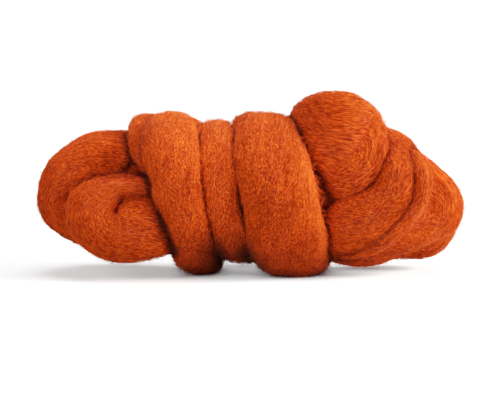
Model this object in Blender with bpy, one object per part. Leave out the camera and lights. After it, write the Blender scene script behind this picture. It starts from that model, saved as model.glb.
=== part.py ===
"""A hank of wool roving: one length of soft combed strand, folded to and fro into a bundle
with loops at both ends, then wound three times round the middle of the bundle.

The frame: X runs along the hank, Y goes away from its front and Z is up. The origin is on
the surface that the hank lies on, under the middle of the hank. The tables are in
millimetres, and the meshes are made in metres.
"""

import math
from collections import namedtuple

import bmesh
import bpy
from mathutils import Matrix, Vector

MM = 0.001

# The wound middle of the hank.
AXIS_HEIGHT = 38.0  # the axis that the strand is wound round, above the surface
TO_MIDDLE = Vector((-0.6, -0.45, 0.0))  # brings the middle of the whole hank over the origin

# The fineness of the solid.
SIDES = 16  # sides of the strand's oval section
STATION_GAP = 5.0  # the longest stretch of strand between two sections
LEAST_STEP = 0.1  # how far the inside of a tight bend still moves on between two sections
FULLNESS = 2.5  # 2 is a plain ellipse, and more is squarer, as wool is where it is pressed

# Which way the strand's broad side lies as it runs.
STEADINESS = 0.3  # how far it keeps the way that it lay just before
WOUND = "broad along the hank"
FACING = "flat side towards the front"
UPRIGHT = "broad from bottom to top"

Turn = namedtuple("Turn", "angle x reach broad thick")
Bend = namedtuple("Bend", "x y z broad thick")

# The stretch that is wound round the middle. The angle is 0 in front, 90 on top, 180 behind
# and -90 underneath. The reach is from the axis to the strand's outer side.
WOUND_STRAND = [
    Turn(-215, 26, 20, 12, 12),
    Turn(-190, 29, 27, 17, 14),
    Turn(-160, 29, 34, 25, 18),
    Turn(-130, 26.5, 38, 30, 20),
    Turn(-110, 24, 40.2, 32, 21),
    Turn(-90, 22.5, 38.9, 33, 22),
    Turn(-70, 20.5, 40.2, 37, 22),
    Turn(-45, 17.8, 40, 38.5, 22),
    Turn(-20, 15.2, 40, 38, 23),
    Turn(0, 13.5, 40, 36.5, 23),
    Turn(20, 11.2, 40, 36, 22),
    Turn(45, 9.5, 40, 34.5, 22),
    Turn(70, 8.2, 39.5, 32, 21),
    Turn(90, 6.5, 38.5, 30, 20),
    Turn(135, 3, 37, 28, 18),
    Turn(180, 1, 36, 28, 18),
    Turn(225, -1, 34, 26, 17),
    Turn(255, -2, 33, 26, 17),
    Turn(280, -3, 32.5, 26, 17),
    Turn(305, -6, 34.5, 24, 17),
    Turn(335, -9.5, 36.2, 22, 17),
    Turn(360, -12.5, 37, 20, 17),
    Turn(405, -15, 37, 19, 17),
    Turn(450, -15.5, 34.5, 18, 16),
    Turn(495, -17, 35, 22, 16),
    Turn(540, -20, 36, 26, 17),
    Turn(585, -22, 38, 27, 18),
    Turn(608, -22, 40.4, 24, 19),
    Turn(630, -22, 38.8, 20, 19),
    Turn(650, -23.5, 37.6, 22.5, 20),
    Turn(675, -26, 37.6, 26, 21),
    Turn(700, -28, 39.0, 24, 21),
    Turn(720, -31, 39.5, 24, 21),
    Turn(745, -33.5, 40, 26, 21),
    Turn(775, -36, 40, 28, 21),
    Turn(808, -35.8, 38.3, 22, 20),
    Turn(835, -31, 36.5, 25, 18),
    Turn(860, -22, 36.5, 26, 17),
    Turn(890, -9, 39.5, 27, 17),
    Turn(925, 8, 42, 27, 16),
    Turn(955, 20, 38, 22, 14),
    Turn(975, 27, 33, 14, 10),
]

# The narrow fold that shows beside the last turn, at the top left.
LEFT_FOLD = [
    Turn(30, -44, 30, 10, 12),
    Turn(60, -48, 34, 14, 15),
    Turn(90, -49, 36.5, 15, 15),
    Turn(125, -45, 37, 17, 16),
    Turn(165, -40, 36, 18, 16),
    Turn(200, -36, 32, 12, 12),
]

# The loops at the left end.
LEFT_BACK_LOOP = [
    Bend(-34, 4, 48, 32, 26),
    Bend(-49, 4, 50, 34, 32),
    Bend(-62.5, 4, 50.5, 34, 35),
    Bend(-74, 4, 48, 33, 37),
    Bend(-84, 4, 43.5, 27, 38),
    Bend(-89.8, 4, 36, 20, 38),
    Bend(-90, 4, 30, 17, 37),
    Bend(-86.5, 4, 25.5, 14, 36),
    Bend(-78, 4, 21, 14, 34),
    Bend(-66, 4, 18, 16, 31),
    Bend(-50, 4, 18, 18, 28),
    Bend(-34, 4, 20, 20, 26),
]
LEFT_FRONT_LOOP = [
    Bend(-35, -14, 43.5, 8, 22),
    Bend(-46, -18, 43.5, 9, 26),
    Bend(-55, -20, 43.5, 9.5, 28),
    Bend(-60.6, -20, 42.6, 12, 28),
    Bend(-64.5, -20, 39.7, 18, 28),
    Bend(-67.5, -20, 36.7, 24, 28),
    Bend(-69, -20, 34, 29, 28),
    Bend(-69, -20, 31.2, 31.5, 29),
    Bend(-67.3, -20, 28.2, 32, 30),
    Bend(-64.2, -20, 25.4, 31.5, 31),
    Bend(-59, -20, 24, 31.5, 32),
    Bend(-52, -20, 24.6, 32, 32),
    Bend(-44.5, -19, 25.7, 32, 31),
    Bend(-34, -15, 27, 30, 26),
]
LEFT_HIND_LOOP = [
    Bend(-32, 20, 46, 20, 22),
    Bend(-50, 23, 47, 23, 24),
    Bend(-64, 24, 46, 24, 25),
    Bend(-74, 24, 41, 24, 25),
    Bend(-78.5, 24, 34, 22, 25),
    Bend(-76.5, 24, 27.5, 20, 25),
    Bend(-69, 24, 22.5, 20, 25),
    Bend(-60, 24, 21, 20, 25),
    Bend(-48, 22, 21, 22, 24),
    Bend(-32, 18, 24, 22, 22),
]

# The loops at the right end.
RIGHT_TOP_LOOP = [
    Bend(29, 7, 60, 30, 17),
    Bend(27, 3, 60.5, 38, 19),
    Bend(27.5, -2, 61, 43, 20.5),
    Bend(30.7, -7.5, 61.6, 46, 23),
    Bend(35, -11.5, 62.2, 47.2, 25),
    Bend(39.5, -13.2, 62.5, 47.5, 26),
    Bend(45, -12, 62.5, 47, 25.5),
    Bend(50.3, -6, 61.5, 42, 23),
    Bend(52, 2, 61, 38, 21),
    Bend(49, 9, 60.5, 39, 23),
    Bend(40, 12, 60, 41, 26),
    Bend(27, 13, 57, 38, 26),
    Bend(14, 12, 52, 32, 24),
]
RIGHT_FRONT_LOOP = [
    Bend(44, 2, 60, 12, 18),
    Bend(55, 0, 60, 14, 19),
    Bend(64.5, -6.5, 59.5, 17, 21),
    Bend(68.7, -11.5, 54, 22, 25),
    Bend(68.6, -14.5, 47, 25.5, 27),
    Bend(66.5, -16, 40, 27, 28),
    Bend(61, -16.5, 33, 29, 29),
    Bend(54.5, -16.5, 28, 31, 29),
    Bend(47.5, -15.5, 25.5, 31, 28),
    Bend(40, -12.5, 25.5, 31, 27),
    Bend(30, -9, 27, 30, 25),
]
RIGHT_FRONT_RIM = [
    Bend(58, -1, 57.5, 7, 10),
    Bend(67.5, -7.5, 58.5, 8, 13),
    Bend(74.3, -14.5, 57.2, 8.5, 14),
    Bend(78.3, -19, 52.5, 9, 14),
    Bend(79.8, -21.5, 47, 9, 14),
    Bend(79, -22.5, 40.3, 9, 14),
    Bend(76.4, -23, 35, 9, 14),
    Bend(71.8, -23, 28.5, 9, 14),
    Bend(66, -23, 22, 9, 14),
    Bend(60, -22, 17.3, 9, 14),
    Bend(53.5, -21, 15, 9, 13),
    Bend(45, -18, 14, 9, 12),
    Bend(35, -13, 14, 9, 12),
]
RIGHT_INNER_FOLD = [
    Bend(47, -1, 69, 15, 13),
    Bend(51.2, -7, 66, 19, 16),
    Bend(54.6, -12, 62.2, 21.5, 19),
    Bend(56, -14.3, 58, 22.5, 21),
    Bend(54.9, -15.5, 54, 22, 22),
    Bend(51.5, -16.5, 49.8, 22, 22),
    Bend(46, -16.5, 46.6, 22, 21.5),
    Bend(39, -14.5, 45.5, 22, 21),
    Bend(30, -11, 46.5, 20, 18),
]
RIGHT_MIDDLE_LOOP = [
    Bend(34, 6, 48, 18, 26),
    Bend(50, 6, 50, 20, 27),
    Bend(66, 6, 48, 23, 28),
    Bend(75.5, 5, 44.3, 25.5, 30),
    Bend(82, 4, 40, 24.5, 31),
    Bend(86.7, 3, 35.8, 24.5, 31),
    Bend(88.8, 2, 31, 24, 31),
    Bend(88, 1, 27.3, 22, 30),
    Bend(84.5, 0, 25.3, 20, 29),
    Bend(79.5, -2, 23.3, 19.5, 28),
    Bend(71, -4, 18, 18, 27),
    Bend(60, -6, 13.5, 17, 26),
    Bend(51.5, -6, 13.3, 17, 28),
    Bend(42, -5, 15.5, 18, 28),
    Bend(30, -3, 18, 20, 28),
]
RIGHT_HIND_LOOP = [
    Bend(34, 13, 42, 22, 26),
    Bend(50, 16, 44, 24, 27),
    Bend(66, 18, 43, 25, 28),
    Bend(77, 18, 39, 25, 28),
    Bend(84.5, 18, 33, 23, 28),
    Bend(88, 18, 26.5, 22.5, 28),
    Bend(88, 18, 20.5, 21.5, 28),
    Bend(84.2, 18, 16, 20.5, 28),
    Bend(78, 18, 15.2, 20.5, 28),
    Bend(66, 17, 16, 22, 28),
    Bend(49, 15, 18, 24, 28),
    Bend(32, 12, 20, 24, 26),
]

# The folded runs inside the turns and the loops, which nobody sees, as one filling.
FILLING = [
    Bend(-72, 4, 32, 16, 24),
    Bend(-62, 3, 34, 24, 34),
    Bend(-48, 2, 38, 40, 48),
    Bend(-30, 1, 39, 50, 54),
    Bend(0, 0, 39, 50, 52),
    Bend(30, 0, 39, 50, 50),
    Bend(48, 2, 39, 46, 44),
    Bend(60, 3, 38, 38, 40),
    Bend(74, 4, 34, 26, 38),
    Bend(84, 6, 28, 18, 28),
]

# The deepest that the trimming block reaches below the surface.
TRIM_DEPTH = 30.0
TRIM_WIDTH = 400.0

WOOL_COLOUR = (0.50, 0.070, 0.006, 1.0)  # burnt orange, linear
WOOL_ROUGHNESS = 0.85


def clear_scene():
    for obj in list(bpy.data.objects):
        bpy.data.objects.remove(obj, do_unlink=True)


def between(before, start, end, after, share):
    """A value on the smooth curve through four others, this share of the way from start to end."""
    slope_in, slope_out = (end - before) / 2, (after - start) / 2
    square, cube = share * share, share * share * share
    return (
        start * (2 * cube - 3 * square + 1)
        + slope_in * (cube - 2 * square + share)
        + end * (3 * square - 2 * cube)
        + slope_out * (cube - square)
    )


def smoothed(rows, length_of):
    """The rows with more between them, so that no two are further apart than the station gap."""
    kind = type(rows[0])
    made = []
    for i, (start, end) in enumerate(zip(rows, rows[1:])):
        before, after = rows[max(i - 1, 0)], rows[min(i + 2, len(rows) - 1)]
        steps = max(1, math.ceil(length_of(start, end) / STATION_GAP))
        for step in range(steps):
            made.append(kind(*(between(*four, step / steps) for four in zip(before, start, end, after))))
    return [*made, rows[-1]]


def centre_of_turn(turn):
    angle = math.radians(turn.angle)
    radius = turn.reach - turn.thick / 2
    up = AXIS_HEIGHT + radius * math.sin(angle)
    return Vector((turn.x, -radius * math.cos(angle), up)) + TO_MIDDLE


def centre_of_bend(bend):
    return Vector((bend.x, bend.y, bend.z)) + TO_MIDDLE


def broad_direction(lie, along, before):
    """The direction of the strand's broad side, across the way that it runs."""
    if lie == WOUND:
        wanted = Vector((1, 0, 0))
    elif lie == UPRIGHT:
        wanted = Vector((0, 0, 1))
    else:
        wanted = along.cross(Vector((0, 1, 0)))
    wanted = wanted + before * STEADINESS
    return (wanted - wanted.dot(along) * along).normalized()


def pressed(share):
    """A coordinate of a circle moved out to the same place on the squarer oval."""
    return math.copysign(abs(share) ** (2 / FULLNESS), share)


def rings(rows, lie):
    """The points of each oval section along the rows, in millimetres."""
    centre_of = centre_of_turn if lie == WOUND else centre_of_bend
    rows = smoothed(rows, lambda a, b: (centre_of(a) - centre_of(b)).length)
    centres = [centre_of(row) for row in rows]
    circle = [2 * math.pi * i / SIDES for i in range(SIDES)]
    oval = [(pressed(math.cos(angle)), pressed(math.sin(angle))) for angle in circle]
    broad = Vector((0, 0, 0))
    made = []
    for i, row in enumerate(rows):
        along = (centres[min(i + 1, len(rows) - 1)] - centres[max(i - 1, 0)]).normalized()
        broad = broad_direction(lie, along, broad)
        thick = along.cross(broad)
        ring = [
            centres[i] + broad * (across * row.broad / 2) + thick * (deep * row.thick / 2)
            for across, deep in oval
        ]
        if made:
            ring = [kept_forward(*ends, along) for ends in zip(made[-1], ring)]
        made.append(ring)
    return made


def kept_forward(last, point, along):
    """The point, held where a tight bend would make the inside of the strand run back."""
    step = point - last
    return point if step.dot(along) > LEAST_STEP else last + along * LEAST_STEP


def strand(name, rows, lie):
    """One run of the strand: its sections joined by faces, and closed at both ends."""
    bm = bmesh.new()
    placed = rings(rows, lie)
    last_ring = None
    for i, points in enumerate(placed):
        at_end = i in (0, len(placed) - 1)
        made = bmesh.ops.create_circle(bm, cap_ends=at_end, segments=SIDES, radius=1)
        for vert, point in zip(made["verts"], points):
            vert.co = point * MM
        ring = {edge for vert in made["verts"] for edge in vert.link_edges}
        if last_ring:
            bmesh.ops.bridge_loops(bm, edges=[*last_ring, *ring])
        last_ring = ring
    bmesh.ops.recalc_face_normals(bm, faces=bm.faces)
    return finished(name, bm)


def trim_block(name):
    """What is under the surface: it presses the lowest turns flat."""
    bm = bmesh.new()
    size = Matrix.Diagonal((TRIM_WIDTH, TRIM_WIDTH, TRIM_DEPTH, 1))
    down = Matrix.Translation((0, 0, -TRIM_DEPTH / 2))
    bmesh.ops.create_cube(bm, size=1, matrix=Matrix.Scale(MM, 4) @ down @ size)
    return finished(name, bm)


def finished(name, bm):
    mesh = bpy.data.meshes.new(name)
    bm.to_mesh(mesh)
    bm.free()
    return bpy.data.objects.new(name, mesh)


def helper(obj, collection):
    collection.objects.link(obj)
    obj.hide_render = True
    obj.display_type = "WIRE"
    return obj


def wool():
    material = bpy.data.materials.new("combed_wool")
    material.use_nodes = True
    shader = material.node_tree.nodes["Principled BSDF"]
    shader.inputs["Base Color"].default_value = WOOL_COLOUR
    shader.inputs["Roughness"].default_value = WOOL_ROUGHNESS
    shader.inputs["Metallic"].default_value = 0.0
    return material


def main():
    clear_scene()
    scene = bpy.context.scene.collection
    runs = bpy.data.collections.new("strand_runs")
    scene.children.link(runs)
    for name, rows, lie in (
        ("wound_strand", WOUND_STRAND, WOUND),
        ("left_fold", LEFT_FOLD, WOUND),
        ("left_back_loop", LEFT_BACK_LOOP, FACING),
        ("left_front_loop", LEFT_FRONT_LOOP, FACING),
        ("left_hind_loop", LEFT_HIND_LOOP, FACING),
        ("right_top_loop", RIGHT_TOP_LOOP, UPRIGHT),
        ("right_front_loop", RIGHT_FRONT_LOOP, FACING),
        ("right_front_rim", RIGHT_FRONT_RIM, FACING),
        ("right_inner_fold", RIGHT_INNER_FOLD, FACING),
        ("right_middle_loop", RIGHT_MIDDLE_LOOP, FACING),
        ("right_hind_loop", RIGHT_HIND_LOOP, FACING),
    ):
        helper(strand(name, rows, lie), runs)

    roving = strand("roving", FILLING, FACING)
    scene.objects.link(roving)
    roving.data.materials.append(wool())
    joined = roving.modifiers.new("all_runs", "BOOLEAN")
    joined.operation = "UNION"
    joined.operand_type = "COLLECTION"
    joined.collection = runs
    joined.use_self = True
    trimmed = roving.modifiers.new("flat_underside", "BOOLEAN")
    trimmed.operation = "DIFFERENCE"
    trimmed.object = helper(trim_block("trim_block"), scene)
    roving.data.shade_smooth()


main()
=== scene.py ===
# %% [markdown]
# # A hank of combed wool roving
#
# Roving is wool that has been washed, dyed and combed until its fibres lie side by side in one
# soft, endless strand, about as broad as two fingers. This hank is one length of it, folded to
# and fro into a bundle and then wound round the middle of the bundle, which holds it together
# with no tie. Its looks come from three things: the plump runs of strand that press into each
# other, the fine fibres that follow each run, and a halo of loose hairs at every edge.
#
# The solid that the hank's weight and collision come from is already modelled, and is loaded
# here as a fixed frame. This script dresses it.

# %% The frame
import math
from collections import namedtuple

import bmesh
import bpy
import numpy as np
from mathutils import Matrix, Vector
from mathutils.bvhtree import BVHTree


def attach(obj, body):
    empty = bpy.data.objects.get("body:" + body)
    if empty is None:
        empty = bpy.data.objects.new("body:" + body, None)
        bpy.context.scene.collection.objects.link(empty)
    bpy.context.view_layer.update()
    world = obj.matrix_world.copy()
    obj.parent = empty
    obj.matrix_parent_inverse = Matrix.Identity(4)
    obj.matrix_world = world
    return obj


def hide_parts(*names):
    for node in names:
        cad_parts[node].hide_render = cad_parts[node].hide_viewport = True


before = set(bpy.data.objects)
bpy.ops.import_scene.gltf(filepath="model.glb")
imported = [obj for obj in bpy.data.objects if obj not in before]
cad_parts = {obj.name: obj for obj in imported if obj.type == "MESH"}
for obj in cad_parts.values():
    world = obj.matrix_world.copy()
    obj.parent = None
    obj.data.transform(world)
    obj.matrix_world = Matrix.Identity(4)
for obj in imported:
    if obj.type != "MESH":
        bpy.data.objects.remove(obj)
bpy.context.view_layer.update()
MM = 0.001  # the tables are in millimetres, and Blender's meshes in metres
draw = np.random.default_rng(11)  # every random choice comes from this one seeded source
print("nodes in the frame:", sorted(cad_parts))

# %% [markdown]
# ## The camera, the surface and the light
#
# A product photo of this kind is taken from just above table height with a long lens, so that
# the hank isn't drawn out of shape. The table is a white sweep, as white to the camera as the
# background, although both give the wool much less light than they show: that keeps its
# undersides deep. Shadows on the table stay pale all the same, by a glow that only the camera
# sees and that fades where the wool comes down to the table. The main lamp stands at the right,
# a wide one hangs overhead for the soft highlights along the tops of the runs, and a weak one
# fills in from the front and left. The camera comes first, because every later choice is judged
# through it.

# %% A colour from its hex value
def linear(hex_colour):
    """The linear colour that shaders need, from an sRGB hex value such as "c4490f"."""
    shares = [int(hex_colour[i : i + 2], 16) / 255 for i in (0, 2, 4)]
    return tuple(c / 12.92 if c <= 0.04045 else ((c + 0.055) / 1.055) ** 2.4 for c in shares) + (1,)


print("mid-grey is", linear("808080")[0])

# %% A node with its settings and links
def add(material, kind, sockets=None, **settings):
    """Adds a node. Each socket named takes a value, or the output of another node."""
    made = material.node_tree.nodes.new(kind)
    for name, value in settings.items():
        setattr(made, name, value)
    for name, value in (sockets or {}).items():
        if isinstance(value, bpy.types.NodeSocket):
            material.node_tree.links.new(value, made.inputs[name])
        else:
            made.inputs[name].default_value = value
    return made


# %% The camera
CAMERA_AWAY = 1.1  # metres, far enough to be nearly without perspective
CAMERA_ABOVE = math.radians(6)
VIEW_WIDTH = 0.235  # metres across the picture at the hank
AIM = Vector((0, 0, 0.0347))

camera = bpy.data.objects.new("camera", bpy.data.cameras.new("camera"))
bpy.context.scene.collection.objects.link(camera)
camera.location = AIM + CAMERA_AWAY * Vector((0, -math.cos(CAMERA_ABOVE), math.sin(CAMERA_ABOVE)))
camera.rotation_euler = (AIM - camera.location).to_track_quat("-Z", "Y").to_euler()
camera.data.lens = camera.data.sensor_width * CAMERA_AWAY / VIEW_WIDTH
bpy.context.scene.camera = camera
print("lens", round(camera.data.lens), "mm")

# %% The surface and the light
def far_lamp(name, azimuth, elevation, strength, softness, colour):
    """A wide lamp so far away that it lights the whole table alike. All angles are in degrees."""
    made = bpy.data.objects.new(name, bpy.data.lights.new(name, "SUN"))
    made.data.energy = strength
    made.data.angle = math.radians(softness)
    made.data.color = linear(colour)[:3]
    made.rotation_euler = (math.radians(90 - elevation), 0, math.radians(90 + azimuth))
    bpy.context.scene.collection.objects.link(made)
    return made


FLOOR_SIZE = 12.0  # metres
WHITE_TO_THE_EYE = 4.4  # the background as the camera sees it, just past what is shown as white
FROM_THE_WALLS = 0.35  # the light that the background gives the hank
FROM_THE_TABLE = 0.33  # the share of its light that the table gives back to the hank
TABLE_TO_THE_EYE = 1.4  # the same share as the camera sees it
CAMERA_ONLY_GLOW = 0.5  # the strength of a painted glow, seen only by the camera, that keeps shadows pale
CONTACT = 0.007  # metres: where the hank is nearer above the table than this, the painted glow fades

bm = bmesh.new()
bmesh.ops.create_grid(bm, x_segments=1, y_segments=1, size=FLOOR_SIZE / 2)
floor = bpy.data.objects.new("floor", bpy.data.meshes.new("floor"))
bm.to_mesh(floor.data)
bm.free()
bpy.context.scene.collection.objects.link(floor)
white_card = bpy.data.materials.new("white_card")
white_card.use_nodes = True
white_card.node_tree.nodes.clear()
seen = add(white_card, "ShaderNodeLightPath").outputs["Is Camera Ray"]
shade = add(
    white_card,
    "ShaderNodeMapRange",
    {"Value": seen, "To Min": FROM_THE_TABLE, "To Max": TABLE_TO_THE_EYE},
)
matt = add(white_card, "ShaderNodeBsdfDiffuse", {"Color": shade.outputs["Result"]})
# painted light: the table glows to the camera alone, and less where the hank comes close to it
open_above = add(white_card, "ShaderNodeAmbientOcclusion", {"Distance": CONTACT}).outputs["AO"]
glow = add(white_card, "ShaderNodeMath", {0: open_above, 1: CAMERA_ONLY_GLOW}, operation="MULTIPLY")
seen_glow = add(white_card, "ShaderNodeMath", {0: seen, 1: glow.outputs[0]}, operation="MULTIPLY")
light = add(white_card, "ShaderNodeEmission", {"Strength": seen_glow.outputs[0]})
both = add(white_card, "ShaderNodeAddShader", {0: matt.outputs["BSDF"], 1: light.outputs["Emission"]})
add(white_card, "ShaderNodeOutputMaterial", {"Surface": both.outputs[0]})
floor.data.materials.append(white_card)

world = bpy.data.worlds.new("white_surroundings")
world.use_nodes = True
seen = add(world, "ShaderNodeLightPath").outputs["Is Camera Ray"]
strength = add(
    world,
    "ShaderNodeMapRange",
    {"Value": seen, "To Min": FROM_THE_WALLS, "To Max": WHITE_TO_THE_EYE},
)
background = world.node_tree.nodes["Background"]
background.inputs["Color"].default_value = (1, 1, 1, 1)
world.node_tree.links.new(strength.outputs["Result"], background.inputs["Strength"])
bpy.context.scene.world = world
far_lamp("from_the_right", azimuth=-10, elevation=25, strength=16.5, softness=30, colour="fffaf2")
far_lamp("overhead", azimuth=60, elevation=80, strength=4.8, softness=45, colour="ffffff")
far_lamp("from_the_front", azimuth=-130, elevation=25, strength=2.0, softness=40, colour="ffffff")

# %% [markdown]
# A camera doesn't answer to light in proportion. In its brightest parts each colour channel gives
# way, and the strongest first, so that burnt orange turns paler and more yellow where the lamp
# catches it, and stays deep red in the shade. A curve over the render does the same: it leaves
# dark values as they are, and bends over until four times white is white.

# %% The camera's answer to light
Answer = namedtuple("Answer", "light shown")
ANSWERS = [
    Answer(0.1, 0.1),
    Answer(0.33, 0.296),
    Answer(0.78, 0.52),
    Answer(1.2, 0.64),
    Answer(1.7, 0.745),
    Answer(2.7, 0.9),
]
BRIGHTEST = 4.0  # the light that is shown as white
ALL_CHANNELS = 3  # the last of the four curves, after red, green and blue

settings = bpy.context.scene.view_settings
settings.view_transform = "Standard"
settings.use_curve_mapping = True
settings.curve_mapping.white_level = (BRIGHTEST,) * 3
all_channels = settings.curve_mapping.curves[ALL_CHANNELS]
for answer in ANSWERS:
    all_channels.points.new(answer.light / BRIGHTEST, answer.shown)
settings.curve_mapping.update()
print("the curve has", len(all_channels.points), "points")

# %% [markdown]
# ## How the strand runs
#
# A hand that winds a hank makes no exact curves, so each run is a short table of places, the same
# as in the solid, with the strand's width and thickness at each. The turns round the middle are
# given by their angle round the hank's long axis, and the folds and loops by plain points. A
# smooth curve joins the places.

# %% The tables
AXIS_HEIGHT = 38.0  # the axis that the strand is wound round, above the surface
TO_MIDDLE = np.array([-0.6, -0.45, 0.0])  # brings the middle of the hank over the origin
SIDES = 16  # places round the strand's oval section
STATION_GAP = 5.0  # the longest stretch of strand between two sections
LEAST_STEP = 0.1  # how far the inside of a tight bend still moves on between two sections
FULLNESS = 2.5  # 2 is a plain ellipse, and more is squarer, as wool is where it is pressed
STEADINESS = 0.3  # how far the strand keeps the way that it lay just before
WOUND = "broad along the hank"
FACING = "flat side towards the front"
UPRIGHT = "broad from bottom to top"

Turn = namedtuple("Turn", "angle x reach broad thick")
Bend = namedtuple("Bend", "x y z broad thick")

WOUND_STRAND = [
    Turn(-215, 26, 20, 12, 12),
    Turn(-190, 29, 27, 17, 14),
    Turn(-160, 29, 34, 25, 18),
    Turn(-130, 26.5, 38, 30, 20),
    Turn(-110, 24, 40.2, 32, 21),
    Turn(-90, 22.5, 38.9, 33, 22),
    Turn(-70, 20.5, 40.2, 37, 22),
    Turn(-45, 17.8, 40, 38.5, 22),
    Turn(-20, 15.2, 40, 38, 23),
    Turn(0, 13.5, 40, 36.5, 23),
    Turn(20, 11.2, 40, 36, 22),
    Turn(45, 9.5, 40, 34.5, 22),
    Turn(70, 8.2, 39.5, 32, 21),
    Turn(90, 6.5, 38.5, 30, 20),
    Turn(135, 3, 37, 28, 18),
    Turn(180, 1, 36, 28, 18),
    Turn(225, -1, 34, 26, 17),
    Turn(255, -2, 33, 26, 17),
    Turn(280, -3, 32.5, 26, 17),
    Turn(305, -6, 34.5, 24, 17),
    Turn(335, -9.5, 36.2, 22, 17),
    Turn(360, -12.5, 37, 20, 17),
    Turn(405, -15, 37, 19, 17),
    Turn(450, -15.5, 34.5, 18, 16),
    Turn(495, -17, 35, 22, 16),
    Turn(540, -20, 36, 26, 17),
    Turn(585, -22, 38, 27, 18),
    Turn(608, -22, 40.4, 24, 19),
    Turn(630, -22, 38.8, 20, 19),
    Turn(650, -23.5, 37.6, 22.5, 20),
    Turn(675, -26, 37.6, 26, 21),
    Turn(700, -28, 39.0, 24, 21),
    Turn(720, -31, 39.5, 24, 21),
    Turn(745, -33.5, 40, 26, 21),
    Turn(775, -36, 40, 28, 21),
    Turn(808, -35.8, 38.3, 22, 20),
    Turn(835, -31, 36.5, 25, 18),
    Turn(860, -22, 36.5, 26, 17),
    Turn(890, -9, 39.5, 27, 17),
    Turn(925, 8, 42, 27, 16),
    Turn(955, 20, 38, 22, 14),
    Turn(975, 27, 33, 14, 10),
]
LEFT_FOLD = [
    Turn(30, -44, 30, 10, 12),
    Turn(60, -48, 34, 14, 15),
    Turn(90, -49, 36.5, 15, 15),
    Turn(125, -45, 37, 17, 16),
    Turn(165, -40, 36, 18, 16),
    Turn(200, -36, 32, 12, 12),
]
LEFT_BACK_LOOP = [
    Bend(-34, 4, 48, 32, 26),
    Bend(-49, 4, 50, 34, 32),
    Bend(-62.5, 4, 50.5, 34, 35),
    Bend(-74, 4, 48, 33, 37),
    Bend(-84, 4, 43.5, 27, 38),
    Bend(-89.8, 4, 36, 20, 38),
    Bend(-90, 4, 30, 17, 37),
    Bend(-86.5, 4, 25.5, 14, 36),
    Bend(-78, 4, 21, 14, 34),
    Bend(-66, 4, 18, 16, 31),
    Bend(-50, 4, 18, 18, 28),
    Bend(-34, 4, 20, 20, 26),
]
LEFT_FRONT_LOOP = [
    Bend(-35, -14, 43.5, 8, 22),
    Bend(-46, -18, 43.5, 9, 26),
    Bend(-55, -20, 43.5, 9.5, 28),
    Bend(-60.6, -20, 42.6, 12, 28),
    Bend(-64.5, -20, 39.7, 18, 28),
    Bend(-67.5, -20, 36.7, 24, 28),
    Bend(-69, -20, 34, 29, 28),
    Bend(-69, -20, 31.2, 31.5, 29),
    Bend(-67.3, -20, 28.2, 32, 30),
    Bend(-64.2, -20, 25.4, 31.5, 31),
    Bend(-59, -20, 24, 31.5, 32),
    Bend(-52, -20, 24.6, 32, 32),
    Bend(-44.5, -19, 25.7, 32, 31),
    Bend(-34, -15, 27, 30, 26),
]
LEFT_HIND_LOOP = [
    Bend(-32, 20, 46, 20, 22),
    Bend(-50, 23, 47, 23, 24),
    Bend(-64, 24, 46, 24, 25),
    Bend(-74, 24, 41, 24, 25),
    Bend(-78.5, 24, 34, 22, 25),
    Bend(-76.5, 24, 27.5, 20, 25),
    Bend(-69, 24, 22.5, 20, 25),
    Bend(-60, 24, 21, 20, 25),
    Bend(-48, 22, 21, 22, 24),
    Bend(-32, 18, 24, 22, 22),
]
RIGHT_TOP_LOOP = [
    Bend(29, 7, 60, 30, 17),
    Bend(27, 3, 60.5, 38, 19),
    Bend(27.5, -2, 61, 43, 20.5),
    Bend(30.7, -7.5, 61.6, 46, 23),
    Bend(35, -11.5, 62.2, 47.2, 25),
    Bend(39.5, -13.2, 62.5, 47.5, 26),
    Bend(45, -12, 62.5, 47, 25.5),
    Bend(50.3, -6, 61.5, 42, 23),
    Bend(52, 2, 61, 38, 21),
    Bend(49, 9, 60.5, 39, 23),
    Bend(40, 12, 60, 41, 26),
    Bend(27, 13, 57, 38, 26),
    Bend(14, 12, 52, 32, 24),
]
RIGHT_FRONT_LOOP = [
    Bend(44, 2, 60, 12, 18),
    Bend(55, 0, 60, 14, 19),
    Bend(64.5, -6.5, 59.5, 17, 21),
    Bend(68.7, -11.5, 54, 22, 25),
    Bend(68.6, -14.5, 47, 25.5, 27),
    Bend(66.5, -16, 40, 27, 28),
    Bend(61, -16.5, 33, 29, 29),
    Bend(54.5, -16.5, 28, 31, 29),
    Bend(47.5, -15.5, 25.5, 31, 28),
    Bend(40, -12.5, 25.5, 31, 27),
    Bend(30, -9, 27, 30, 25),
]
RIGHT_FRONT_RIM = [
    Bend(58, -1, 57.5, 7, 10),
    Bend(67.5, -7.5, 58.5, 8, 13),
    Bend(74.3, -14.5, 57.2, 8.5, 14),
    Bend(78.3, -19, 52.5, 9, 14),
    Bend(79.8, -21.5, 47, 9, 14),
    Bend(79, -22.5, 40.3, 9, 14),
    Bend(76.4, -23, 35, 9, 14),
    Bend(71.8, -23, 28.5, 9, 14),
    Bend(66, -23, 22, 9, 14),
    Bend(60, -22, 17.3, 9, 14),
    Bend(53.5, -21, 15, 9, 13),
    Bend(45, -18, 14, 9, 12),
    Bend(35, -13, 14, 9, 12),
]
RIGHT_INNER_FOLD = [
    Bend(47, -1, 69, 15, 13),
    Bend(51.2, -7, 66, 19, 16),
    Bend(54.6, -12, 62.2, 21.5, 19),
    Bend(56, -14.3, 58, 22.5, 21),
    Bend(54.9, -15.5, 54, 22, 22),
    Bend(51.5, -16.5, 49.8, 22, 22),
    Bend(46, -16.5, 46.6, 22, 21.5),
    Bend(39, -14.5, 45.5, 22, 21),
    Bend(30, -11, 46.5, 20, 18),
]
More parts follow.
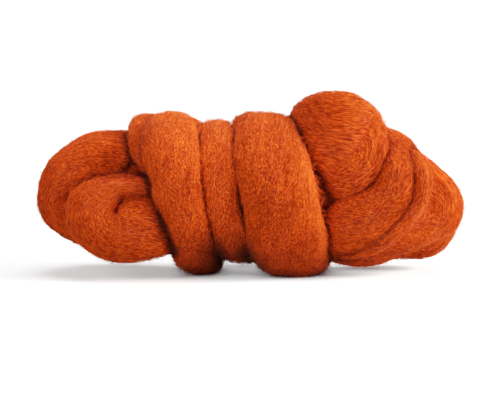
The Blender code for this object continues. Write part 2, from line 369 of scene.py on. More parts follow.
RIGHT_MIDDLE_LOOP = [
    Bend(34, 6, 48, 18, 26),
    Bend(50, 6, 50, 20, 27),
    Bend(66, 6, 48, 23, 28),
    Bend(75.5, 5, 44.3, 25.5, 30),
    Bend(82, 4, 40, 24.5, 31),
    Bend(86.7, 3, 35.8, 24.5, 31),
    Bend(88.8, 2, 31, 24, 31),
    Bend(88, 1, 27.3, 22, 30),
    Bend(84.5, 0, 25.3, 20, 29),
    Bend(79.5, -2, 23.3, 19.5, 28),
    Bend(71, -4, 18, 18, 27),
    Bend(60, -6, 13.5, 17, 26),
    Bend(51.5, -6, 13.3, 17, 28),
    Bend(42, -5, 15.5, 18, 28),
    Bend(30, -3, 18, 20, 28),
]
RIGHT_HIND_LOOP = [
    Bend(34, 13, 42, 22, 26),
    Bend(50, 16, 44, 24, 27),
    Bend(66, 18, 43, 25, 28),
    Bend(77, 18, 39, 25, 28),
    Bend(84.5, 18, 33, 23, 28),
    Bend(88, 18, 26.5, 22.5, 28),
    Bend(88, 18, 20.5, 21.5, 28),
    Bend(84.2, 18, 16, 20.5, 28),
    Bend(78, 18, 15.2, 20.5, 28),
    Bend(66, 17, 16, 22, 28),
    Bend(49, 15, 18, 24, 28),
    Bend(32, 12, 20, 24, 26),
]
INNER_FOLDS = [
    Bend(-72, 4, 32, 16, 24),
    Bend(-62, 3, 34, 24, 34),
    Bend(-48, 2, 38, 40, 48),
    Bend(-30, 1, 39, 50, 54),
    Bend(0, 0, 39, 50, 52),
    Bend(30, 0, 39, 50, 50),
    Bend(48, 2, 39, 46, 44),
    Bend(60, 3, 38, 38, 40),
    Bend(74, 4, 34, 26, 38),
    Bend(84, 6, 28, 18, 28),
]
print("places in the longest table:", len(WOUND_STRAND))

# %% [markdown]
# ## From a table to a run of strand
#
# Each run becomes a row of oval sections, spaced closely along a smooth curve through the
# table's places. The sections are kept as an array of points, and one function reads the surface
# between them, at any distance along the run and any share of the way round. Everything that
# follows, the skin, the fibres and the hairs, asks that one function where the surface is.

# %% A smooth curve through the table
def between(before, start, end, after, share):
    """A value on the smooth curve through four others, this share of the way from start to end."""
    slope_in, slope_out = (end - before) / 2, (after - start) / 2
    square, cube = share * share, share * share * share
    return (
        start * (2 * cube - 3 * square + 1)
        + slope_in * (cube - 2 * square + share)
        + end * (3 * square - 2 * cube)
        + slope_out * (cube - square)
    )


def centres_of(table, of_turns):
    """The middle of the strand at each row, in millimetres."""
    if not of_turns:
        return table[:, :3] + TO_MIDDLE
    angle, x, reach, _, thick = table.T
    angle, radius = np.radians(angle), reach - thick / 2
    across, up = -radius * np.cos(angle), AXIS_HEIGHT + radius * np.sin(angle)
    return np.stack([x, across, up], 1) + TO_MIDDLE


def smoothed(table, of_turns):
    """The rows with more between them, so that no two are further apart than the station gap."""
    steps_between = np.diff(centres_of(table, of_turns), axis=0)
    made = []
    for i, gap in enumerate(np.linalg.norm(steps_between, axis=1)):
        four = [table[k] for k in np.clip(range(i - 1, i + 3), 0, len(table) - 1)]
        steps = max(1, math.ceil(gap / STATION_GAP))
        made += [between(*four, step / steps) for step in range(steps)]
    return np.array([*made, table[-1]])


print("halfway from 1 to 2 between 0 and 3:", between(0, 1, 2, 3, 0.5))

# %% The oval sections
def unit(vectors):
    return vectors / np.maximum(np.linalg.norm(vectors, axis=-1, keepdims=True), 1e-9)


def broad_direction(lie, along, before):
    """The direction of the strand's broad side, across the way that it runs."""
    wanted = {
        WOUND: np.array([1.0, 0, 0]),
        UPRIGHT: np.array([0, 0, 1.0]),
        FACING: np.cross(along, [0, 1.0, 0]),
    }[lie]
    wanted = wanted + before * STEADINESS
    return unit(wanted - (wanted @ along) * along)


def pressed(shares):
    """Coordinates of a circle moved out to the same places on the squarer oval."""
    return np.copysign(np.abs(shares) ** (2 / FULLNESS), shares)


def sections_of(centres, table, lie):
    """The points of each oval section, as an array of section, place round it and x, y, z."""
    circle = 2 * np.pi * np.arange(SIDES) / SIDES
    across, deep = pressed(np.cos(circle)), pressed(np.sin(circle))
    broad = np.zeros(3)
    made = []
    for i, centre in enumerate(centres):
        along = unit(centres[min(i + 1, len(centres) - 1)] - centres[max(i - 1, 0)])
        broad = broad_direction(lie, along, broad)
        thick = np.cross(along, broad)
        ring = centre + np.outer(across * table[i, 3] / 2, broad)
        ring = ring + np.outer(deep * table[i, 4] / 2, thick)
        if made:  # the inside of a tight bend is kept from running back
            moved_on = (ring - made[-1]) @ along > LEAST_STEP
            ring = np.where(moved_on[:, None], ring, made[-1] + along * LEAST_STEP)
        made.append(ring)
    return np.array(made)


print("a circle's 45 degrees is pressed out to", pressed(np.cos(np.radians([45.0]))).round(3))

# %% [markdown]
# Combed strand isn't smooth like a hose. It has soft lumps where more wool was fed in, and its
# fibres cling together in flat locks that lie side by side along it and slowly turn round it,
# because a hand that winds always twists a little. Both are low, wide waves in the surface. Each
# is a sum of a few sine waves with random phases, which never repeats in a visible way and costs
# nothing to work out at any point.

# %% One run of the strand
TWIST_LENGTH = 420.0  # the strand turns once round itself in this many millimetres
CREASE_REACH = 2.5  # how near a neighbour the wool starts to dip into the crease
CREASE_DEPTH = 0.6  # how far it has dipped where the two touch
CREASE_FOCUS = 1.6  # past 1, the painted shade gathers at the bottom of the crease
CLOSE_TO_TABLE = 6.5  # how high above the table shade is still painted on the wool
PAINTED_SHADE_ON_TABLE = 0.7  # how dark the painted shade gets where the wool lies on the table
LOW = 26.0  # how high shade is painted, where a turn lies deep between two others
LOW_STEEPNESS = 2  # at 2, the full painted shade reaches up to half that height
BETWEEN_TURNS = 9.0  # how near the two others are
HEAD_START = 1.2  # past 1, the painted shade is full before they touch
UNEVENNESS = 0.5  # how much higher or lower than the average a wave may be
Waves = namedtuple("Waves", "times_round length height phase")


def waves(count, fewest_round, most_round, shortest, longest, height):
    """Random waves over the strand: how often each goes round it, how long and how high it is."""
    lengths = draw.uniform(shortest, longest, count) * draw.choice([-1, 1], count)
    times_round = draw.integers(fewest_round, most_round + 1, count)
    heights = height * draw.uniform(1 - UNEVENNESS, 1 + UNEVENNESS, count) / math.sqrt(count)
    return Waves(times_round, lengths, heights, draw.uniform(0, 2 * np.pi, count))


class Run:
    """A run of the strand, whose surface can be read at any place."""

    def __init__(self, name, rows, lie):
        of_turns = isinstance(rows[0], Turn)
        table = smoothed(np.array(rows, float), of_turns)
        self.name, self.wound = name, of_turns
        self.centres = centres_of(table, of_turns)
        self.sections = sections_of(self.centres, table, lie)
        steps = np.linalg.norm(np.diff(self.centres, axis=0), axis=1)
        self.distances = np.concatenate([[0], np.cumsum(steps)])
        self.length = self.distances[-1]
        closed = np.concatenate([self.sections, self.sections[:, :1]], 1)
        self.girths = np.linalg.norm(np.diff(closed, axis=1), axis=2).sum(1)
        self.lumps = waves(6, fewest_round=1, most_round=3, shortest=22, longest=60, height=0.5)
        self.locks = waves(8, fewest_round=9, most_round=24, shortest=70, longest=260, height=0.14)
        # these three nets are measured further on
        self.gaps = np.full((2, 1), np.inf)  # to the neighbours
        self.gaps_between_turns = np.full((2, 1), np.inf)  # to other turns of the same run
        self.valleys = np.zeros((2, 1))  # how far wool fills the valleys beside it

    def girth(self, distance):
        return np.interp(distance, self.distances, self.girths)

    def read(self, net, distance, lay):
        """The value at any place of what is known on a net over the run."""
        rows, sides = net.shape
        row = np.clip(distance / self.length, 0, 1) * (rows - 1)
        side = (lay % 1) * sides
        row_before = np.minimum(row.astype(int), rows - 2)
        side_before = side.astype(int) % sides
        side_after = (side_before + 1) % sides
        down, across = row - row_before, side - np.floor(side)
        before = (1 - across) * net[row_before, side_before] + across * net[row_before, side_after]
        row_after = row_before + 1
        after = (1 - across) * net[row_after, side_before] + across * net[row_after, side_after]
        return (1 - down) * before + down * after

    def crease(self, distance, lay):
        """How deep in a crease a place lies: 1 where a neighbour presses on it, 0 in the open."""
        nearness = np.clip(1 - self.read(self.gaps, distance, lay) / CREASE_REACH, 0, 1)
        return nearness * nearness * (3 - 2 * nearness)

    def shade(self, distance, lay):
        """Shade painted into the colour: in creases, close to the table, and low between two turns."""
        over_table = self.at(distance, lay, 0)[..., 2]
        close = PAINTED_SHADE_ON_TABLE * np.clip(1 - over_table / CLOSE_TO_TABLE, 0, 1)
        gap = self.read(self.gaps_between_turns, distance, lay)
        low = np.clip(LOW_STEEPNESS - LOW_STEEPNESS * over_table / LOW, 0, 1)
        low = low * np.clip(HEAD_START - gap / BETWEEN_TURNS, 0, 1)
        return np.maximum(self.crease(distance, lay) ** CREASE_FOCUS, np.maximum(close, low))

    def relief(self, distance, lay):
        """How far lumps, locks and filled valleys stand out, and creases dip in."""
        out = self.read(self.valleys, distance, lay) - CREASE_DEPTH * self.crease(distance, lay)
        for group in (self.lumps, self.locks):
            for times_round, length, height, phase in zip(*group):
                out = out + height * np.sin(2 * np.pi * (times_round * lay + distance / length) + phase)
        return out

    def at(self, distance, lay, above):
        """The point this far along, on this lay and so far above the surface, in millimetres.

        The lay is the share of the way round the strand, before its twist."""
        place = np.interp(distance, self.distances, np.arange(len(self.distances)))
        section = np.minimum(place.astype(int), len(self.sections) - 2)
        share = place - section
        turn = (lay + distance / TWIST_LENGTH) * SIDES
        side = np.floor(turn).astype(int)
        turn_share = turn - side
        rows = []
        for k in range(-1, 3):
            ring = self.sections[np.clip(section + k, 0, len(self.sections) - 1)]
            four = [
                np.take_along_axis(ring, ((side + j) % SIDES)[..., None, None], -2)[..., 0, :]
                for j in range(-1, 3)
            ]
            rows.append(between(*four, turn_share[..., None]))
        point = between(*rows, share[..., None])
        middle = np.stack([np.interp(distance, self.distances, c) for c in self.centres.T], -1)
        return point + unit(point - middle) * np.asarray(above)[..., None]


runs = [
    Run("wound_strand", WOUND_STRAND, WOUND),
    Run("left_fold", LEFT_FOLD, WOUND),
    Run("left_back_loop", LEFT_BACK_LOOP, FACING),
    Run("left_front_loop", LEFT_FRONT_LOOP, FACING),
    Run("left_hind_loop", LEFT_HIND_LOOP, FACING),
    Run("right_top_loop", RIGHT_TOP_LOOP, UPRIGHT),
    Run("right_front_loop", RIGHT_FRONT_LOOP, FACING),
    Run("right_front_rim", RIGHT_FRONT_RIM, FACING),
    Run("right_inner_fold", RIGHT_INNER_FOLD, FACING),
    Run("right_middle_loop", RIGHT_MIDDLE_LOOP, FACING),
    Run("right_hind_loop", RIGHT_HIND_LOOP, FACING),
    Run("inner_folds", INNER_FOLDS, FACING),
]
for run in runs:
    print(f"{run.name}: {run.length:.0f} mm long, {run.girths.max():.0f} mm round at its fullest")

# %% [markdown]
# ## Where the runs press into each other
#
# Two soft strands that touch don't meet like two hoses: each dips away into a deep crease, dark
# with real shade and with shade painted into the colour.
# So every run needs to know how far each bit of its surface is from its neighbours. Blender's
# BVH tree finds the nearest point of a closed surface, and the side of the face that a place is
# on tells inside from outside. A neighbour may also be another turn of the same run, so each run
# is cut into short closed stretches too. The distances are kept on a net over each run.
#
# Not every two runs meet alike, so a short table says which pairs differ. Where two lie flat
# against each other, their fibres mingle and fill the valley between them, most where the two
# meet and less the further away, by the formula that is known from smooth unions of distance
# fields. The crease there is faint or gone, as if they were further apart. Where the winding
# cuts into the left end it is deep and wide, as if they were further inside each other.

# %% Closed surfaces to measure to
STRETCH = 50.0  # how long a stretch of a run is
OWN_MARGIN = 22.0  # a stretch of the same run, nearer along it than this, is no neighbour
NET_GAP = 2.6  # between the places of the net
NET_SIDES = 34
FURTHEST = 10.0  # no need to know of neighbours further away than this
SOFTER = 0.7  # how much further apart two turns of one run seem, which softens their crease
WIDER = 1.35  # how many times wider the crease between two different runs is
# how far the wool of a pair mingles, and how much further apart the two seem in the crease
Meeting = namedtuple("Meeting", "pair reach apart")
MEETINGS = [
    Meeting({"right_top_loop", "right_inner_fold"}, 12.0, FURTHEST),
    Meeting({"right_top_loop", "right_front_loop"}, 7.0, 1.0),
    Meeting({"right_inner_fold", "right_front_loop"}, 3.0, 0.6),
    Meeting({"right_front_loop", "right_front_rim"}, 2.0, 0.8),
    Meeting({"right_front_rim", "right_middle_loop"}, 1.0, 0.0),
    Meeting({"right_front_loop", "right_middle_loop"}, 6.0, FURTHEST),
    Meeting({"right_middle_loop", "inner_folds"}, 8.0, FURTHEST),
    Meeting({"right_inner_fold", "wound_strand"}, 6.0, 0.6),
    Meeting({"left_fold", "wound_strand"}, 4.0, 0.8),
    Meeting({"left_front_loop", "wound_strand"}, 0, -0.7),
    Meeting({"left_front_loop", "left_fold"}, 0, -0.7),
    Meeting({"left_back_loop", "wound_strand"}, 0, -0.7),
    Meeting({"left_back_loop", "left_fold"}, 0, -0.7),
]
PLAIN_MEETING = Meeting(None, 0, 0)
Closed = namedtuple("Closed", "run start end tree low high")


def net_places(start, end):
    """Distances and lays in rows and columns over a part of a run."""
    rows = np.linspace(start, end, max(3, math.ceil((end - start) / NET_GAP)))
    return np.meshgrid(rows, np.arange(NET_SIDES) / NET_SIDES, indexing="ij")


def closed(run, start, end):
    points = run.at(*net_places(start, end), 0)
    index = np.arange(points.size // 3).reshape(points.shape[:2])
    beside = np.roll(index, -1, axis=1)
    sides = np.stack([index[:-1], beside[:-1], beside[1:], index[1:]], -1).reshape(-1, 4)
    faces = [*sides.tolist(), index[0, ::-1].tolist(), index[-1].tolist()]
    tree = BVHTree.FromPolygons(points.reshape(-1, 3).tolist(), faces)
    return Closed(run, start, end, tree, points.min((0, 1)), points.max((0, 1)))


whole_runs = [closed(run, 0, run.length) for run in runs]
stretches = []
for run in runs:
    cuts = np.linspace(0, run.length, round(run.length / STRETCH) + 1)
    stretches += [closed(run, start, end) for start, end in zip(cuts, cuts[1:])]
print(len(whole_runs), "runs in", len(stretches), "stretches")


# %% The distance to the nearest neighbour, all over each run
def gap_to(body, points, near, reach):
    """How far each near place is from a closed surface: below 0 inside it, and no more than reach."""
    gaps = np.full(near.shape, reach)
    near = near & ((points > body.low - reach) & (points < body.high + reach)).all(-1)
    for place in zip(*np.nonzero(near)):
        point = Vector(points[place])
        nearest, normal, _, away = body.tree.find_nearest(point)
        gaps[place] = min(reach, math.copysign(away, (point - nearest).dot(normal)))
    return gaps


def meeting_of(run, other):
    """How two runs meet: their row in the table, or else a plain meeting."""
    return next((m for m in MEETINGS if m.pair == {run.name, other.name}), PLAIN_MEETING)


def measured(run):
    """Three nets: the gaps to the neighbours, those to other turns, and the filled valleys."""
    distance, lay = net_places(0, run.length)
    points = run.at(distance, lay, 0)
    gaps, turns = np.full(distance.shape, FURTHEST), np.full(distance.shape, FURTHEST)
    valleys = np.zeros(distance.shape)
    everywhere = np.full(distance.shape, True)
    for body in whole_runs:
        if body.run is run:
            continue
        _, reach, apart = meeting_of(run, body.run)
        gap = gap_to(body, points, everywhere, max(reach, FURTHEST))
        gaps = np.minimum(gaps, gap / WIDER + apart)
        if reach:
            share = 1 - np.abs(gap) / reach
            valleys = np.maximum(valleys, reach / 4 * share.clip(0) ** 2)
    for body in stretches:
        if body.run is run:
            away = (distance < body.start - OWN_MARGIN) | (distance > body.end + OWN_MARGIN)
            own = gap_to(body, points, away, FURTHEST)
            turns = np.where(own > -FURTHEST, np.minimum(turns, own), turns)
    return np.minimum(gaps, turns + SOFTER), turns, valleys


for run in runs:
    run.gaps, run.gaps_between_turns, run.valleys = measured(run)
    print(f"{run.name}: {np.mean(run.gaps > 0):.0%} of it is outside the others")

# %% [markdown]
# ## The wool
#
# The fibre is fine merino, dyed a burnt orange. Dye never takes evenly on combed wool, so each
# fibre is a little lighter or darker than the next, and whole locks differ too. The colour
# therefore comes from two patterns: a random tone that each fibre carries in an attribute, and a
# noise drawn out along the strand. The noise is read in the strand's own space, which each
# piece carries as an attribute too: a tube as long as the run, so that the pattern follows every
# bend and has no seam. Light that gets deep into wool comes back dark and red, and that shade is
# painted into the colour: in creases, close to the table and low between two turns, a third
# attribute mixes in a dark red. Wool is matt, with a faint bloom from the scales on its fibres,
# which is what the sheen is for.

# %% The material
STREAK_WIDTH = 0.33 * MM  # a few fibres dyed alike, drawn coarser than real so that they show
STREAK_LENGTH = 0.8 * MM  # in the wound turns
LOOP_PACE = 0.5  # in the loops the pattern moves on this many times as fast, so it is drawn out
PATCH_SIZE = 12 * MM
STREAK_CONTRAST = 4.8
PATCH_CONTRAST = 0.8
MIDDLE_TONE = 0.5  # the mean of each noise, and the place of the middle colour on the ramp
MIX_FROM, MIX_TO, MIX_RESULT = 6, 7, 2  # the Mix node's sockets for colours


def combed_wool(name, dark, middle, light, painted_shade_colour):
    """Dyed combed wool: matt, streaked along its fibres, with shade painted into its creases."""
    made = bpy.data.materials.new(name)
    made.use_nodes = True
    tree = made.node_tree
    shader = tree.nodes["Principled BSDF"]
    place = add(made, "ShaderNodeAttribute", attribute_name="strand").outputs["Vector"]
    tone = add(made, "ShaderNodeAttribute", attribute_name="tone").outputs["Fac"]
    # painted shade: the crease attribute says how far the colour is mixed towards a dark red
    crease = add(made, "ShaderNodeAttribute", attribute_name="crease").outputs["Fac"]
    stretch = (1, 1, STREAK_WIDTH / STREAK_LENGTH)
    drawn_out = add(made, "ShaderNodeMapping", {"Vector": place, "Scale": stretch}).outputs["Vector"]
    streaks = add(
        made,
        "ShaderNodeTexNoise",
        {"Vector": drawn_out, "Scale": 1 / STREAK_WIDTH, "Detail": 2.0, "Roughness": 0.5},
    )
    patches = add(made, "ShaderNodeTexNoise", {"Vector": place, "Scale": 1 / PATCH_SIZE, "Detail": 1.0})
    share = tone
    for noise, contrast in ((streaks, STREAK_CONTRAST), (patches, PATCH_CONTRAST)):
        centred = add(
            made,
            "ShaderNodeMath",
            {0: noise.outputs["Fac"], 1: MIDDLE_TONE},
            operation="SUBTRACT",
        )
        share = add(
            made,
            "ShaderNodeMath",
            {0: centred.outputs[0], 1: contrast, 2: share},
            operation="MULTIPLY_ADD",
        ).outputs[0]
    ramp = add(made, "ShaderNodeValToRGB", {"Fac": share})
    ramp.color_ramp.elements[0].color = linear(dark)
    ramp.color_ramp.elements[1].color = linear(light)
    ramp.color_ramp.elements.new(MIDDLE_TONE).color = linear(middle)
    colour = add(
        made,
        "ShaderNodeMix",
        {0: crease, MIX_FROM: ramp.outputs["Color"], MIX_TO: linear(painted_shade_colour)},
        data_type="RGBA",
    )
    tree.links.new(colour.outputs[MIX_RESULT], shader.inputs["Base Color"])
    shader.inputs["Roughness"].default_value = 0.55
    shader.inputs["Specular IOR Level"].default_value = 0.01
    shader.inputs["Sheen Weight"].default_value = 0.15
    shader.inputs["Sheen Roughness"].default_value = 0.4
    shader.inputs["Sheen Tint"].default_value = linear("ffb898")
    return made


dyed_wool = combed_wool(
    "dyed_merino_top", dark="862203", middle="d84309", light="fc551b", painted_shade_colour="3a0702"
)
print("material", dyed_wool.name)

# %% [markdown]
# ## The skin of each run
#
# Under the fibres that catch the light there are thousands more, so dense that they can be one
# closed surface. A sheet as long as the run, rolled up round it, gives even faces that follow
# the strand: the grid operator makes the sheet, each point is moved to its place on the run, the
# long edges are merged, and the two ends are filled. Nothing of the run may go through the
# surface that the hank lies on, so the lowest turns are pressed flat there.

# %% Rolling a sheet into a run
SKIN_GAP = 2.2  # millimetres between points along the strand
SKIN_SIDES = 42
SKIN_DEPTH = 0.3  # how far the skin lies under the outermost fibres
SKIN_PAINTED_SHADE_TONE = 0.15  # between the fibres it is dark: painted shade for the depth between them
MERGE = 0.004 * MM


def wear(piece):
    """Puts the wool on a finished piece and ties it to the frame."""
    piece.data.materials.append(dyed_wool)
    piece.data.shade_smooth()
    bpy.context.scene.collection.objects.link(piece)
    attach(piece, "root")
    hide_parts("roving")
    return piece


def strand_space(run, distance, lay):
    """The place in the strand's own straight tube, in metres, that the material reads."""
    radius, angle = run.girth(distance) / (2 * np.pi), 2 * np.pi * lay
    along = distance * (1 if run.wound else LOOP_PACE)
    return np.stack([radius * np.cos(angle), radius * np.sin(angle), along], -1) * MM


def carry(mesh, space, tone, crease):
    """Gives the mesh the attributes that the material reads."""
    mesh.attributes.new("strand", "FLOAT_VECTOR", "POINT").data.foreach_set("vector", space.ravel())
    mesh.attributes.new("tone", "FLOAT", "POINT").data.foreach_set("value", tone.ravel())
    # painted shade: how far the material darkens the colour, in creases, near the table and low between
    # turns
    mesh.attributes.new("crease", "FLOAT", "POINT").data.foreach_set("value", crease.ravel())


def skin(run):
    along = math.ceil(run.length / SKIN_GAP)
    bm = bmesh.new()
    bmesh.ops.create_grid(bm, x_segments=SKIN_SIDES, y_segments=along, size=0.5)
    flat = np.array([vert.co for vert in bm.verts])
    lay, distance = flat[:, 0] + 0.5, (flat[:, 1] + 0.5) * run.length
    relief = run.relief(distance, lay)
    print(f"{run.name}: {relief.min():.1f} to {relief.max():.1f} mm off its plain ovals")
    points = run.at(distance, lay, relief - SKIN_DEPTH) * MM
    points[:, 2] = np.maximum(points[:, 2], 0)
    for vert, point in zip(bm.verts, points):
        vert.co = point
    mesh = bpy.data.meshes.new(run.name)
    bm.to_mesh(mesh)
    bm.free()
    # the skin gets a dark tone as painted shade, and the painted shade of creases, the table and deep
    # turns
    tone = np.full(len(points), SKIN_PAINTED_SHADE_TONE)
    carry(mesh, strand_space(run, distance, lay), tone, run.shade(distance, lay))
    bm = bmesh.new()
    bm.from_mesh(mesh)
    bmesh.ops.remove_doubles(bm, verts=bm.verts, dist=MERGE)
    bmesh.ops.holes_fill(bm, edges=[e for e in bm.edges if e.is_boundary], sides=0)
    bmesh.ops.recalc_face_normals(bm, faces=bm.faces)
    bm.to_mesh(mesh)
    bm.free()
    return bpy.data.objects.new(run.name, mesh)


def triangles(piece):
    """How many triangles a piece is drawn with: a face takes two fewer than it has corners."""
    return len(piece.data.loops) - 2 * len(piece.data.polygons)


def open_edges(piece):
    """How many edges have a face on one side only. A closed piece has none."""
    used = np.empty(len(piece.data.loops), np.int32)
    piece.data.loops.foreach_get("edge_index", used)
    return int((np.bincount(used) == 1).sum())


skins = [wear(skin(run)) for run in runs]
triangle_count = sum(triangles(piece) for piece in skins)
print(len(skins), "skins of", triangle_count, "triangles, open edges:", sum(map(open_edges, skins)))

# %% [markdown]
# ## Where the wool shows
#
# Most of each run is hidden under the others, and fibres there would be wasted. The net of
# distances already says which places those are. What is left is shared out by area, so that the
# fibres lie as close on a narrow fold as on a broad turn.

# %% The places that show
DEEPEST_SHOWN = 1.3  # a place this far inside a neighbour may still show in the crease
HALF_ALONG = 0.5  # half of the millimetre over which the step along the strand is measured
PARTS_ROUND = 100  # the step round the strand is measured over one of so many parts
HALF_ROUND = 1 / PARTS_ROUND / 2
Net = namedtuple("Net", "run distance lay area")


def shown_net(run):
    distance, lay = net_places(0, run.length)
    points = run.at(distance, lay, 0)
    step_along = run.at(distance + HALF_ALONG, lay, 0) - run.at(distance - HALF_ALONG, lay, 0)
    step_round = run.at(distance, lay + HALF_ROUND, 0) - run.at(distance, lay - HALF_ROUND, 0)
    cell = (distance[1, 0] - distance[0, 0]) * PARTS_ROUND / NET_SIDES
    area = np.linalg.norm(np.cross(step_along, step_round), axis=-1) * cell
    shown = (run.gaps > -DEEPEST_SHOWN) & (points[..., 2] > 0)
    return Net(run, distance[shown], lay[shown], area[shown])


nets = [shown_net(run) for run in runs]
whole_area = sum(net.area.sum() for net in nets)
for net in nets:
    print(f"{net.run.name}: {net.area.sum():.0f} mm2 shows")

# %% [markdown]
# ## Fibres
#
# A real strand has a great many fibres, each about a fiftieth of a millimetre thick. The ones
# here are drawn four to sixteen times as thick, so that a few tens of thousands are enough to
# cover the skin. One fibre of each kind is modelled, a three-sided spindle that tapers to a
# point at both ends. It is then repeated as joined meshes from arrays, bent along its own path
# each time.

# %% One fibre, to be repeated
Shape = namedtuple("Shape", "step side lift faces")
Kind = namedtuple("Kind", "shape count lengths wander thicknesses")  # sizes in millimetres


def from_lowest(face):
    """A face's corners in the same direction, from the one with the lowest number."""
    first = face.index(min(face))
    return face[first:] + face[:first]


def spindle(rings):
    """A three-sided spindle with this many rings of points between its two tips.

    The sphere operator gives its faces in another order each time that Blender runs, so they
    are put into a fixed one."""
    bm = bmesh.new()
    bmesh.ops.create_uvsphere(bm, u_segments=3, v_segments=rings + 1, radius=1)
    bmesh.ops.triangulate(bm, faces=bm.faces)
    bmesh.ops.recalc_face_normals(bm, faces=bm.faces)
    corners = np.array([vert.co for vert in bm.verts])
    faces = sorted(from_lowest([vert.index for vert in face.verts]) for face in bm.faces)
    bm.free()
    step = np.arccos(np.clip(-corners[:, 2], -1, 1)) / np.pi * (rings + 1)
    return Shape(np.rint(step).astype(int), corners[:, 0], corners[:, 1], np.array(faces))


LONG = Kind(spindle(4), 4000, lengths=(12, 24), wander=0.25, thicknesses=(0.18, 0.32))
SHORT = Kind(spindle(2), 40000, lengths=(1.5, 4.0), wander=0.18, thicknesses=(0.11, 0.22))
HAIR = Kind(spindle(1), 58000, lengths=(1.5, 4.0), wander=0.1, thicknesses=(0.07, 0.13))
for kind in (LONG, SHORT, HAIR):
    print(kind.count, "of", len(kind.shape.faces), "faces")

# %% Many fibres as one mesh
WELL_BELOW = 5.0  # outward is the way from a place this far under the fibre


def repeated(name, kind, run, distance, lay, above, tone):
    """A kind repeated along paths over a run. Each row of the arrays is one fibre's steps."""
    shape, thickness = kind.shape, draw.uniform(*kind.thicknesses, len(tone))
    path = run.at(distance, lay, above)
    outward = unit(path - run.at(distance, lay, above - WELL_BELOW))
    along = np.gradient(path, axis=1)
    sideways = unit(np.cross(along, outward))
    up = unit(np.cross(sideways, along))
    half = thickness[:, None, None] / 2
    points = (
        path[:, shape.step]
        + sideways[:, shape.step] * shape.side[:, None] * half
        + up[:, shape.step] * shape.lift[:, None] * half
    )
    points[..., 2] = np.maximum(points[..., 2], 0)
    count, corners = points.shape[:2]
    faces = shape.faces[None] + (np.arange(count) * corners)[:, None, None]
    mesh = bpy.data.meshes.new(name)
    mesh.vertices.add(count * corners)
    mesh.vertices.foreach_set("co", (points * MM).ravel())
    mesh.loops.add(faces.size)
    mesh.loops.foreach_set("vertex_index", faces.ravel())
    mesh.polygons.add(faces.size // 3)
    mesh.polygons.foreach_set("loop_start", np.arange(0, faces.size, 3))
    # the crease attribute carries the painted shade of Run.shade along each fibre
    space, crease = strand_space(run, distance, lay), run.shade(distance, lay)
    tones = np.repeat(tone[:, None], corners, 1)
    carry(mesh, space[:, shape.step], tones, crease[:, shape.step])
    mesh.update(calc_edges=True)
    return bpy.data.objects.new(name, mesh)


def scattered(net, count):
    """Random places on what shows of a run, as many to each bit of area."""
    cell = draw.choice(len(net.area), count, p=net.area / net.area.sum())
    distance = net.distance[cell] + draw.uniform(-0.5, 0.5, count) * NET_GAP
    return distance, net.lay[cell] + draw.uniform(-0.5, 0.5, count) / NET_SIDES


def paths(kind, run, distance, lay, shares, length, heading):
    """Paths through each place, at an angle to the strand. Shares of the length give their steps."""
    count, steps = len(distance), len(shares)
    far = distance[:, None] + shares * (length * np.cos(heading))[:, None]
    far = np.clip(far, 0, run.length)
    sideways = shares * (length * np.sin(heading))[:, None] + draw.normal(0, kind.wander, (count, steps))
    return far, lay[:, None] + sideways / run.girth(far)


print(f"one short fibre to {whole_area / SHORT.count:.1f} mm2, one hair to {whole_area / HAIR.count:.1f}")

# %% [markdown]
# Each fibre follows its run, leans a little to one side as it goes, and wavers with the crimp of
# the wool. Its two ends dip under the others. Most are short, because a fibre soon dives out of
# sight, and lie a little askew, which keeps the wool soft and not like brushed metal.

# %% The fibres of every run
MOST_IN_A_PIECE = 12000
LONG_ASKEW = 0.07  # radians, the usual lean of a long fibre
ASKEW = 0.55  # the same for a short one in the wound turns
ASKEW_IN_LOOPS = 0.4  # less, as no hand has gone over them
LONG_DIP, SHORT_DIP = 0.4, 0.3  # how far the ends dip under the others
LONG_HEIGHTS, SHORT_HEIGHTS = (-0.1, 0.25), (-0.2, 0.3)  # the lowest and highest that they lie
LONG_TONES, SHORT_TONES = (0.45, 0.25), (0.5, 0.36)  # the mean and the spread
LIFT, MOST_LIFT = 0.3, 1.2  # how far one end of a short fibre stands up


def long_fibres(name, net, count):
    distance, lay = scattered(net, count)
    shares = np.linspace(-0.5, 0.5, LONG.shape.step.max() + 1)
    length, heading = draw.uniform(*LONG.lengths, count), draw.normal(0, LONG_ASKEW, count)
    far, lays = paths(LONG, net.run, distance, lay, shares, length, heading)
    dip = LONG_DIP * (2 * np.abs(shares)) ** 3
    above = net.run.relief(far, lays) + draw.uniform(*LONG_HEIGHTS, count)[:, None] - dip
    tone = np.clip(draw.normal(*LONG_TONES, count), 0, 1)
    return repeated(name, LONG, net.run, far, lays, above, tone)


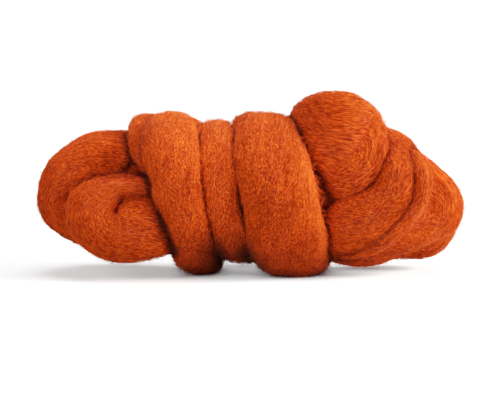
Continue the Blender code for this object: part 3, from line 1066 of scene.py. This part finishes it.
def short_fibres(name, net, count):
    distance, lay = scattered(net, count)
    shares = np.linspace(-0.5, 0.5, SHORT.shape.step.max() + 1)
    length = draw.uniform(*SHORT.lengths, count)
    heading = draw.normal(0, ASKEW if net.run.wound else ASKEW_IN_LOOPS, count)
    far, lays = paths(SHORT, net.run, distance, lay, shares, length, heading)
    lift = draw.exponential(LIFT, count).clip(0, MOST_LIFT)[:, None] * (shares + 0.5) ** 2
    above = net.run.relief(far, lays) + draw.uniform(*SHORT_HEIGHTS, count)[:, None] + lift
    above -= SHORT_DIP * (2 * np.abs(shares)) ** 2
    tone = np.clip(draw.normal(*SHORT_TONES, count), 0, 1)
    return repeated(name, SHORT, net.run, far, lays, above, tone)


def pieces_of(make, label, whole_count):
    """Shares the fibres out over the runs by area, and each run's over a few pieces."""
    added = 0
    for net in nets:
        count = round(whole_count * net.area.sum() / whole_area)
        parts = math.ceil(count / MOST_IN_A_PIECE)
        for part in range(parts):
            piece = wear(make(f"{net.run.name}_{label}_{part + 1}", net, count // parts))
            added += triangles(piece)
    return added


triangle_count += pieces_of(long_fibres, "long_fibres", LONG.count)
triangle_count += pieces_of(short_fibres, "short_fibres", SHORT.count)
print("triangles so far:", triangle_count)

# %% [markdown]
# ## The halo
#
# Short hairs that have slipped out of line stand off the surface in all directions, by a
# millimetre or so and by about three at most. Against the white background they blur every edge.

# %% Loose hairs
HAIR_ASKEW = 0.8  # radians from the way of the strand, forwards or backwards
RISE, MOST_RISE = 1.1, 3.4  # how far the tip stands off
HAIR_TONES = (0.45, 1.05)  # the darkest and the lightest


def loose_hairs(name, net, count):
    distance, lay = scattered(net, count)
    shares = np.linspace(0, 1, HAIR.shape.step.max() + 1)
    length = draw.uniform(*HAIR.lengths, count)
    heading = draw.normal(0, HAIR_ASKEW, count) + draw.choice([0, np.pi], count)
    far, lays = paths(HAIR, net.run, distance, lay, shares, length, heading)
    rise = draw.exponential(RISE, count).clip(0, MOST_RISE)[:, None] * shares
    above = net.run.relief(far, lays) + rise
    tone = draw.uniform(*HAIR_TONES, count)
    return repeated(name, HAIR, net.run, far, lays, above, tone)


triangle_count += pieces_of(loose_hairs, "hairs", HAIR.count)
print("triangles in all:", triangle_count)
